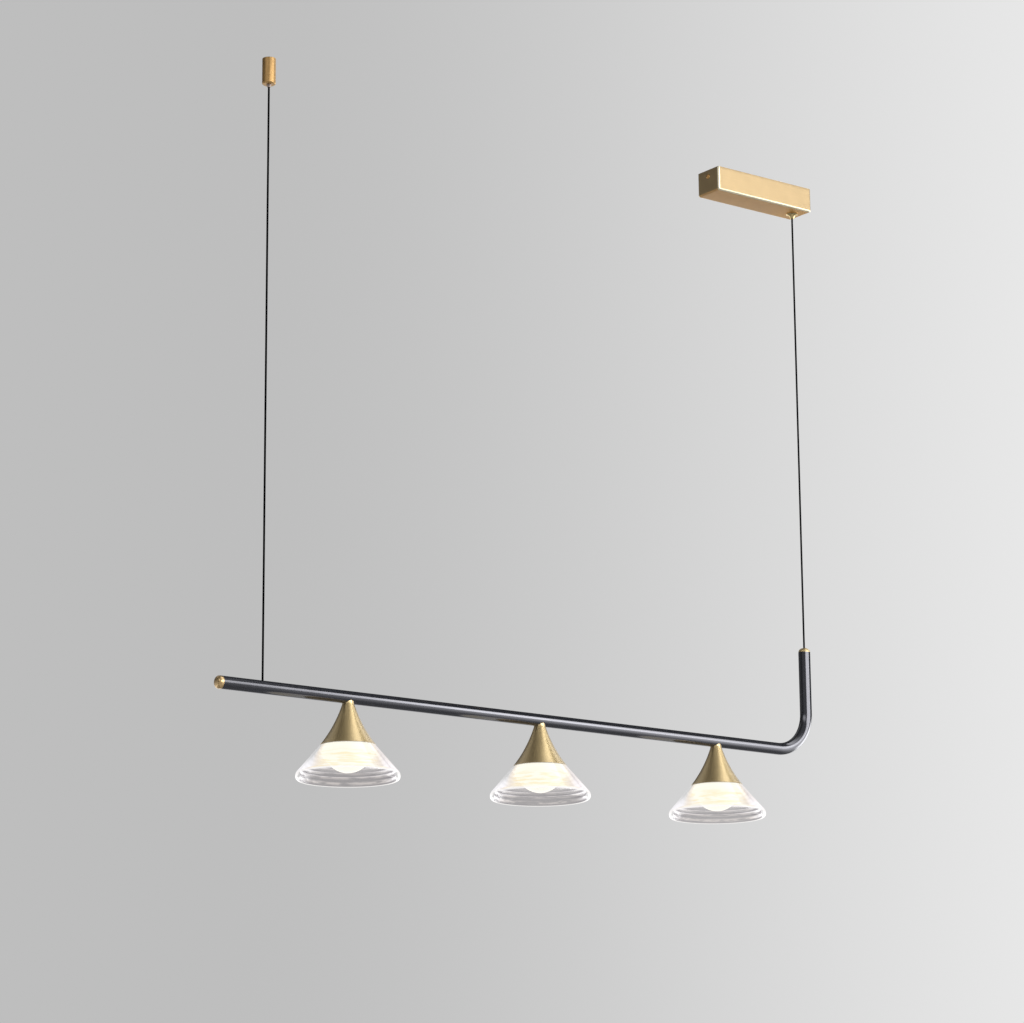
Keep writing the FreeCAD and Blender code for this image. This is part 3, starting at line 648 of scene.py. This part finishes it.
def lit_glass(name, glow, centre_x, ribs, outside):
    """Glass that glows with painted light: emission stands in for the bulb's light caught in its
    rings, in broken streaks. The outer skin is a bright painted glow: cream in front of the bulb,
    with yellow streaks in the grooves, cooler and rosy beside it, with painted shade on its right
    side, and a painted white highlight at its outline and over the rim, which is clear except at
    its ends. The inner skin is clearer, and its rings show most at the sides, as painted
    highlights. Each skin is seen from its own side only. Level is the distance below the tube's
    axis."""
    f = Finish(bpy.data.materials.new(name))
    spot = f.spot()
    x, y, z = f.split(spot)
    across = x - centre_x * MM
    radius = (across * across + y * y) ** 0.5
    level = AXIS_Z * MM - z
    groove = 1 - ring_height(f, radius, z, ribs)
    turned_away = f.add("ShaderNodeLayerWeight", sockets={"Blend": 0.5}).value("Facing")
    front = 1 - f.add("ShaderNodeNewGeometry").value("Backfacing")
    streak = f.noise(spot, 1.0, 2.0, 0.5, (60, 60, 500))
    patch = f.noise(spot, 1.0, 2.0, 0.6, (38, 38, 260)).step_between(0.40, 0.60)
    # Painted light: the outer skin's glow is emission in place of the bulb's light.
    if outside:
        rim = level.step_between(0.1115, 0.1130)
        foot = level.step_between(0.1150, 0.1172)
        ends = turned_away.step_between(0.57 + 0.08 * foot, 0.73 + 0.06 * foot)
        lower = level.step_between(0.085, 0.106)
        # Painted shade: the glow beside the bulb is darker and redder on the right side than on
        # the left.
        rightward = 0.5 + 0.5 * across / radius
        cool = f.blend(rightward, (0.62, 0.62, 0.62), (0.60, 0.52, 0.49))
        rosy = f.blend(rightward, (0.95, 0.93, 0.96), (0.78, 0.70, 0.70))
        painted_glow_mask = 1 - (1 - patch) * (0.6 + 0.4 * groove) * level.step_between(0.078, 0.090)
        cream = f.blend(painted_glow_mask, (1.0, 0.85, 0.55), scaled(glow, 1.03))
        off_bulb = turned_away + 0.18 * level.step_between(0.070, 0.110)
        warm = f.blend(off_bulb.step_between(0.60, 0.70), cream, (0.90, 0.80, 0.68))
        painted_glow = f.blend(off_bulb.step_between(0.66, 0.80), warm, f.blend(lower, cool, rosy))
        # Painted highlight: near white at the outline, and over the rim below.
        painted_glow = f.blend(turned_away.step_between(0.92, 0.98), painted_glow, (1.0, 0.98, 1.0))
        light = f.blend(level.step_between(0.108, 0.1110), painted_glow, (0.98, 0.95, 0.94))
        alpha = 0.88 - 0.76 * rim * (1 - ends)
    else:
        # Painted light on the inner skin: the rings glow as painted highlights, most at the sides,
        # and the foot is painted near white.
        contrast = turned_away.step_between(0.15, 0.65)
        near_rim = level.step_between(0.100, 0.114)
        catch = 0.05 + 0.26 * patch + 0.22 * near_rim * patch + 0.60 * contrast
        lit = groove * catch + 0.06 * streak + 0.05
        foot = level.step_between(0.1182, 0.1190)
        gleam = f.blend(contrast, (1.0, 0.88, 0.81), (1.0, 0.97, 0.98))
        light = f.blend(foot, f.blend(lit, (0.05, 0.035, 0.05), gleam), (0.85, 0.82, 0.80))
        alpha = 0.52 + 0.38 * contrast.maths("MAXIMUM", foot)
    return f.surface({
        "Base Color": (0.04, 0.04, 0.045),
        "Roughness": 0.05,
        "IOR": 1.5,
        "Alpha": alpha * front,
        "Emission Color": light,
        "Emission Strength": 1.0,
    })


def floor_finish(name, colour):
    """Pale floor with a faint unevenness."""
    f = Finish(bpy.data.materials.new(name))
    clouds = f.noise(f.spot(), 1.3, 3.0)
    return f.surface({
        "Base Color": f.blend(clouds, scaled(colour, 0.97), colour),
        "Roughness": 0.85,
    })


FINISHES = {}


def finishes(context):
    """Makes every finish once and gives them back, most of them by the record's slot names."""
    if FINISHES:
        return FINISHES
    colours, canopy_size = context.scene.pendant_finishes, context.scene.pendant_sizes.canopy_size
    brass, sheath = tuple(colours.brass), tuple(colours.sheath)
    FINISHES.update({
        "satin_brass": brushed_brass("brass_turned", brass),
        "sheet_brass": folded_sheet("brass_sheet", tuple(colours.canopy_brass), canopy_size),
        "barrel_brass": brushed_brass("brass_barrel", (0.53, 0.32, 0.12), "round", 0.38, 0.6, 0.0),
        "polished_brass": brushed_brass("brass_polished", brass, "round", 0.16, 0.96, 0.0),
        "screw_brass": brushed_brass("brass_screw", (0.62, 0.35, 0.12), "round", 0.30, 0.8, 0.0),
        "end_brass": brushed_brass("brass_end_grain", (0.82, 0.56, 0.26), "end", 0.30, 0.8),
        "raw_brass": brushed_brass("brass_raw", (0.72, 0.56, 0.26), "round", 0.34),
        "nickel": plain("nickel", (0.42, 0.34, 0.30), 0.55, 1.0),
        "zinc_steel": plain("zinc_plate", (0.55, 0.56, 0.57), 0.34, 1.0, 0.2, 200.0),
        "hard_steel": plain("hardened_steel", (0.20, 0.20, 0.21), 0.30, 1.0),
        "black_cable": plain("cable_black", sheath, 0.60, 0.0, 0.4, 900.0, gloss=0.0),
        "cord_sheath": plain("sheath_black", sheath, 0.75, 0.0, 0.4, 900.0, gloss=0.02),
        "lead_sleeve": plain("lead_sleeve", (0.80, 0.80, 0.78), 0.45),
        "black_lacquer": black_lacquer("black_lacquer", tuple(colours.lacquer)),
        "driver_case": plain("driver_case", (0.84, 0.84, 0.82), 0.50),
        "terminal_plastic": plain("terminal_plastic", (0.86, 0.85, 0.80), 0.42),
        "cast_aluminium": plain("cast_aluminium", (0.62, 0.63, 0.64), 0.42, 1.0, 0.15, 260.0),
        "white_board": plain("white_board", (0.90, 0.90, 0.88), 0.40),
        "silicone": plain("silicone", (0.78, 0.77, 0.72), 0.55),
        "opal_acrylic": plain("opal_plain", (0.92, 0.90, 0.86), 0.4),
        "clear_glass": plain("glass_plain", (0.9, 0.92, 0.92), 0.1),
    })
    return FINISHES


def finish(piece, *materials):
    """Gives a piece its materials, in place of any it has."""
    piece.data.materials.clear()
    for material in materials:
        piece.data.materials.append(material)
    return piece


def stands_for(piece, body, slot, *nodes):
    """A piece rides on a body and is shown in place of CAD nodes. The slot is not used."""
    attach(piece, body)
    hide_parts(*nodes)


# The pieces.

class PENDANT_OT_lines(bpy.types.Operator):
    """Suspension cable and power cord, pulled straight by the bar"""
    bl_idname = "pendant.lines"
    bl_label = "Cable and cord"

    def line(self, name, x, top, foot, diameter, material):
        """Round curve straight down from its top to its foot, through the point midway."""
        curve = bpy.data.curves.new(name, "CURVE")
        curve.dimensions = "3D"
        curve.bevel_depth = diameter / 2
        curve.bevel_resolution = 5
        curve.use_fill_caps = True
        spline = curve.splines.new("NURBS")
        spline.points.add(2)
        for point, level in zip(spline.points, (top, (top + foot) / 2, foot)):
            point.co = (x * MM, 0.0, level * MM, 1.0)
        spline.order_u = 3
        spline.use_endpoint_u = True
        piece = bpy.data.objects.new(name, curve)
        bpy.context.scene.collection.objects.link(piece)
        finish(piece, material)
        return piece

    def execute(self, context):
        sizes, looks = context.scene.pendant_sizes, finishes(context)
        cable = self.line("cable_line", CABLE_X, CABLE_TOP_Z, CABLE_FOOT_Z, sizes.cable_diameter,
                          looks["black_cable"])
        stands_for(cable, "cable", "black_cable", "cable_flex", "suspension_cable")
        cord = self.line("cord_line", ARM_X, CORD_TOP_Z, CORD_FOOT_Z, sizes.cord_diameter,
                         looks["cord_sheath"])
        stands_for(cord, "cord", "cord_sheath", "cord_flex", "power_cord")
        return {"FINISHED"}


class PENDANT_OT_canopy(bpy.types.Operator):
    """Folded brass canopy"""
    bl_idname = "pendant.canopy"
    bl_label = "Canopy"

    def execute(self, context):
        sizes = context.scene.pendant_sizes
        length, width, height = (side / MM for side in sizes.canopy_size)
        grid = folded_box(length, width, height, sizes.fold_radius / MM, CANOPY_WALL)
        cover = surface("canopy_shell", grid, crease=40)
        finish(cover, finishes(context)["sheet_brass"])
        stands_for(cover, "ceiling_set", "satin_brass", "canopy_cover")
        return {"FINISHED"}


class PENDANT_OT_gripper(bpy.types.Operator):
    """Brass barrel of the cable gripper"""
    bl_idname = "pendant.gripper"
    bl_label = "Cable gripper"

    def execute(self, context):
        foot = GRIPPER_FOOT_Z
        profile = outline((8.4, 0.0), (10.0, 0.0), (10.0, foot + 1.2), (8.8, foot), (3.57, foot),
                          (3.57, -35.0), (5.5, -35.0), (5.5, -30.0), (8.4, -30.0))
        barrel = surface("gripper_shell", turned(softened(profile, 0.35), (CABLE_X, 0, 0)),
                         loop=True)
        finish(barrel, finishes(context)["barrel_brass"])
        stands_for(barrel, "ceiling_set", "satin_brass", "gripper_barrel")
        return {"FINISHED"}


class PENDANT_OT_bar(bpy.types.Operator):
    """Bent black tube with its two brass caps"""
    bl_idname = "pendant.bar"
    bl_label = "Bar and caps"

    def execute(self, context):
        sizes, looks = context.scene.pendant_sizes, finishes(context)
        radius = sizes.tube_radius / MM
        tube = surface("bar_skin", bent_tube(radius, sizes.bend_radius / MM))
        finish(tube, looks["black_lacquer"])
        stands_for(tube, "bar", "black_lacquer", "bar_tube")
        tip, face, round_end, edge = 8.3, 8.0, 5.0, 0.35
        flat = radius - round_end
        bulge = (flat + round_end * math.sin(math.radians(45)),
                 face - round_end * (1 - math.cos(math.radians(45))))
        profile = outline((0.0, tip), (dome_middle((flat, face), tip), (flat, face)),
                          (bulge, (radius, face - round_end)), (radius, edge),
                          (radius - edge, 0.0), (0.0, 0.0))
        cap = surface("tip_cap", turned(profile, (CAP_X, 0, AXIS_Z), "-x", 72))
        finish(cap, looks["end_brass"])
        stands_for(cap, "bar", "satin_brass", "end_cap")
        rim = radius - 0.3
        profile = outline((2.2, 6.1), (2.6, 6.5), (3.6, 6.5), ((7.6, 4.4), (rim, 0.8)),
                          (rim, 0.2), (rim - 0.3, 0.0), (8.0, 0.0), (8.0, -10.0), (2.2, -10.0))
        dome = surface("arm_dome", turned(profile, (ARM_X, 0, ARM_TOP_Z), "z", 72), loop=True)
        finish(dome, looks["satin_brass"])
        stands_for(dome, "bar", "satin_brass", "arm_cap")
        return {"FINISHED"}


class PENDANT_OT_heads(bpy.types.Operator):
    """Brass trumpets, glass shades and opal domes"""
    bl_idname = "pendant.heads"
    bl_label = "Lamp heads"

    def execute(self, context):
        sizes, looks = context.scene.pendant_sizes, finishes(context)
        glow = tuple(context.scene.pendant_finishes.glow)
        trumpet_grid = trumpet(sizes.tube_radius / MM)
        glass = shade_profile(sizes.ribs, sizes.rib_depth / MM)
        dome = dome_profile()
        for k, x in enumerate(HEAD_XS, start=1):
            at = np.array([x, 0.0, AXIS_Z])
            cone = surface(f"trumpet_{k}", trumpet_grid + at, loop=True, crease=40)
            finish(cone, looks["satin_brass"])
            stands_for(cone, "bar", "satin_brass", f"brass_cone_{k}")
            shade = surface(f"shade_{k}", turned(glass, at, "z", 128), loop=True, crease=60)
            finish(shade, lit_glass(f"glass_outer_{k}", glow, x, sizes.ribs, outside=True),
                   lit_glass(f"glass_inner_{k}", glow, x, sizes.ribs, outside=False))
            self.split_skins(shade, x)
            stands_for(shade, "bar", "clear_glass", f"glass_shade_{k}")
            opal = surface(f"opal_{k}", turned(dome, at, "z", 96), loop=True, crease=50)
            finish(opal, glowing_opal(f"opal_{k}", glow))
            stands_for(opal, "bar", "opal_acrylic", f"diffuser_{k}")
        return {"FINISHED"}

    def split_skins(self, shade, x):
        """Faces that look away from the shade's axis take the outer glass, the rest the inner."""
        mesh = shade.data
        count = len(mesh.polygons)
        normal, centre = np.zeros(count * 3), np.zeros(count * 3)
        mesh.polygons.foreach_get("normal", normal)
        mesh.polygons.foreach_get("center", centre)
        normal, centre = normal.reshape(-1, 3), centre.reshape(-1, 3)
        out = normal[:, 0] * (centre[:, 0] - x * MM) + normal[:, 1] * centre[:, 1]
        mesh.polygons.foreach_set("material_index", np.where(out > 0, 0, 1).astype(np.int32))


class PENDANT_OT_works(bpy.types.Operator):
    """Finishes of the fastenings, the gripper's inside and the electrical pieces"""
    bl_idname = "pendant.works"
    bl_label = "Inner works"

    def execute(self, context):
        looks = finishes(context)
        slots = {s["node"]: s["material_slot"] for s in frame["record"]["subparts"]}
        for name, node in frame["nodes"].items():
            finish(node, looks[slots[name]])
        for name, look in (("cord_grip", "polished_brass"), ("clamp_screw", "polished_brass"),
                           ("canopy_screws", "screw_brass")):
            finish(frame["nodes"][name], looks[look])
        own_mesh(frame["nodes"]["grip_spring"])
        return {"FINISHED"}


def studio_world(world, backdrop):
    """The camera sees a grey that brightens to its right, and matt surfaces take a light that
    grows towards +X. Gloss sees the sum of soft patches, each a product of smooth steps in x, y
    and z of the direction, or in its azimuth, the angle about Z from -Y towards +X: a wide screen
    in front, taller at its right, with a brighter and a fainter strip in it; one high above it;
    one at the right, and a low one further round behind; a small one at the left; a low one in
    front at the right; the ground, brighter at the back; and walls, dimmest at the right."""
    f = Finish(world)
    x, y, z = f.split(f.add("ShaderNodeTexCoord").link("Generated"))
    azimuth = x.maths("ARCTAN2", 0 - y)
    top = 0.34 + 0.15 * azimuth.step_between(0.35, 0.60)
    screen = azimuth.band((-0.45, -0.22), (0.80, 0.95)) * z.band((-0.02, 0.13), (top, top + 0.11))
    glare = azimuth.band((0.56, 0.65), (0.67, 0.76))
    faint = x.band((0.500, 0.515), (0.540, 0.575))
    screen = screen * (4.0 + 2.7 * glare) * (1 - 0.66 * faint)
    above = x.band((-0.15, 0.52), (0.475, 0.515)) * z.step_between(0.55, 0.68)
    above = 2.1 * above * (1 - y.step_between(-0.10, 0.10))
    beside = 0.80 * x.step_between(0.66, 0.70) * z.step_between(0.22, 0.36)
    beside = beside * (1 + 0.7 * z.step_between(0.50, 0.65))
    corner = azimuth.band((1.15, 1.45), (1.95, 2.20)) * z.band((-0.42, -0.25), (0.02, 0.16)) * 3.6
    aside = azimuth.band((-1.95, -1.50), (-0.85, -0.65)) * z.band((0.22, 0.36), (0.40, 0.60)) * 1.4
    low_front = z.band((-0.80, 0.05), (0.0, 0.15)) * x.step_between(0.50, 0.66)
    low_front = 2.6 * low_front * (1 - y.step_between(-0.1, 0.2))
    beyond = y.step_between(0.45, 0.70) * z.step_between(-0.62, -0.42)
    below = (1 - z.step_between(-0.15, 0.25)) * (0.16 + 0.90 * beyond)
    left = 1 - x.step_between(0.25, 0.50)
    behind_high = z.step_between(0.45, 0.62) * y.step_between(0.30, 0.60) * 0.26
    in_front = (1 - y.step_between(-0.30, 0.10)) * 0.16
    walls = 0.06 + left * (behind_high + in_front + 0.02)
    patches = screen + above + beside + corner + aside + low_front + below + walls
    rightward = (x * 0.7989 - y * 0.6015).step_between(-0.096, 0.25)
    seen = f.blend(rightward, scaled(backdrop, 0.83), scaled(backdrop, 1.397))
    white = (1.0, 1.0, 1.0)
    backdrop_light, gloss_light, soft_light = (
        f.add("ShaderNodeBackground", sockets={"Color": colour, "Strength": strength}).link()
        for colour, strength in ((seen, 1.0), (white, patches),
                                 (white, 0.05 + 1.45 * x.step_between(-0.35, 0.6))))
    path = f.add("ShaderNodeLightPath")
    clear = path.value("Is Camera Ray").maths("MAXIMUM", path.value("Is Transmission Ray"))
    lit = f.add("ShaderNodeMixShader", sockets={
        0: path.value("Is Glossy Ray"), 1: soft_light, 2: gloss_light}).link()
    out = f.add("ShaderNodeMixShader", sockets={0: clear, 1: lit, 2: backdrop_light}).link()
    f.add("ShaderNodeOutputWorld", sockets={"Surface": out})


# The studio, in metres: the pendant's middle, at which the lamps point, the floor and the camera.
AIM = (-0.47, 0.0, -0.8)
FLOOR_Z, FLOOR_RADIUS = -2.45, 7.0
EYE = (-3.38335, -3.82585, -1.75579)
YAW, PITCH, ROLL = (math.radians(angle) for angle in (36.971, 13.288, -0.418))


class PENDANT_OT_stage(bpy.types.Operator):
    """Floor, soft light, backdrop and camera"""
    bl_idname = "pendant.stage"
    bl_label = "Studio"

    def execute(self, context):
        scene = context.scene
        scene.view_settings.view_transform = "Standard"
        backdrop = tuple(scene.pendant_finishes.backdrop)
        scene.world = scene.world or bpy.data.worlds.new("studio")
        studio_world(scene.world, backdrop)
        rim = np.linspace(0, FLOOR_RADIUS / MM, 8)[:, None]
        disc = turned(np.concatenate([rim, 0 * rim], axis=1),
                      (AIM[0] / MM, AIM[1] / MM, FLOOR_Z / MM), segments=64)
        floor = surface("floor", disc)
        if floor.data.polygons[0].normal.z < 0:
            floor.data.flip_normals()
        finish(floor, floor_finish("pale_floor", scaled(backdrop, 1.35)))
        floor.visible_glossy = False
        self.lamp("key", (1.6, -3.2, 1.2), 35.0)
        self.lamp("fill", (-2.4, -3.4, 0.4), 22.0)
        self.camera(scene)
        return {"FINISHED"}

    def lamp(self, name, spot, power):
        """Square lamp that points at the pendant's middle and isn't seen in its gloss."""
        light = bpy.data.lights.new(name, "AREA")
        light.size = 2.4
        light.energy = power
        lamp = bpy.data.objects.new(name, light)
        lamp.location = spot
        lamp.visible_glossy = False
        lamp.rotation_mode = "QUATERNION"
        lamp.rotation_quaternion = (Vector(spot) - Vector(AIM)).to_track_quat("Z", "Y")
        bpy.context.scene.collection.objects.link(lamp)

    def camera(self, scene):
        """The eye stands below and to the left of the pendant and looks up along its length."""
        ahead = np.array([math.sin(YAW) * math.cos(PITCH), math.cos(YAW) * math.cos(PITCH),
                          math.sin(PITCH)])
        level = np.array([math.cos(YAW), -math.sin(YAW), 0.0])
        upright = np.cross(level, ahead)
        right = math.cos(ROLL) * level + math.sin(ROLL) * upright
        up = -math.sin(ROLL) * level + math.cos(ROLL) * upright
        data = bpy.data.cameras.new("eye")
        data.sensor_width = 36.0
        data.lens = 114.70
        data.clip_start, data.clip_end = 0.05, 60.0
        eye = bpy.data.objects.new("eye", data)
        place = np.eye(4)
        place[:3, 0], place[:3, 1], place[:3, 2] = right, up, -ahead
        place[:3, 3] = EYE
        eye.matrix_world = Matrix(place.tolist())
        scene.collection.objects.link(eye)
        scene.camera = eye


class PENDANT_PT_panel(bpy.types.Panel):
    """Sizes, finishes and the steps that build the pendant"""
    bl_idname = "PENDANT_PT_panel"
    bl_label = "Linear pendant"
    bl_space_type = "VIEW_3D"
    bl_region_type = "UI"
    bl_category = "Pendant"

    def draw(self, context):
        for group in (context.scene.pendant_sizes, context.scene.pendant_finishes):
            column = self.layout.column()
            for name in group.__annotations__:
                column.prop(group, name)
        for step in STEPS:
            self.layout.operator(step.bl_idname)


STEPS = (PENDANT_OT_works, PENDANT_OT_lines, PENDANT_OT_canopy, PENDANT_OT_gripper,
         PENDANT_OT_bar, PENDANT_OT_heads, PENDANT_OT_stage)
CLASSES = (PendantSizes, PendantFinishes, *STEPS, PENDANT_PT_panel)


def register():
    for cls in CLASSES:
        bpy.utils.register_class(cls)
    bpy.types.Scene.pendant_sizes = bpy.props.PointerProperty(type=PendantSizes)
    bpy.types.Scene.pendant_finishes = bpy.props.PointerProperty(type=PendantFinishes)


def unregister():
    del bpy.types.Scene.pendant_finishes
    del bpy.types.Scene.pendant_sizes
    for cls in reversed(CLASSES):
        bpy.utils.unregister_class(cls)


def main():
    register()
    for step in STEPS:
        group, name = step.bl_idname.split(".")
        getattr(getattr(bpy.ops, group), name)()


if __name__ == "__main__":
    main()
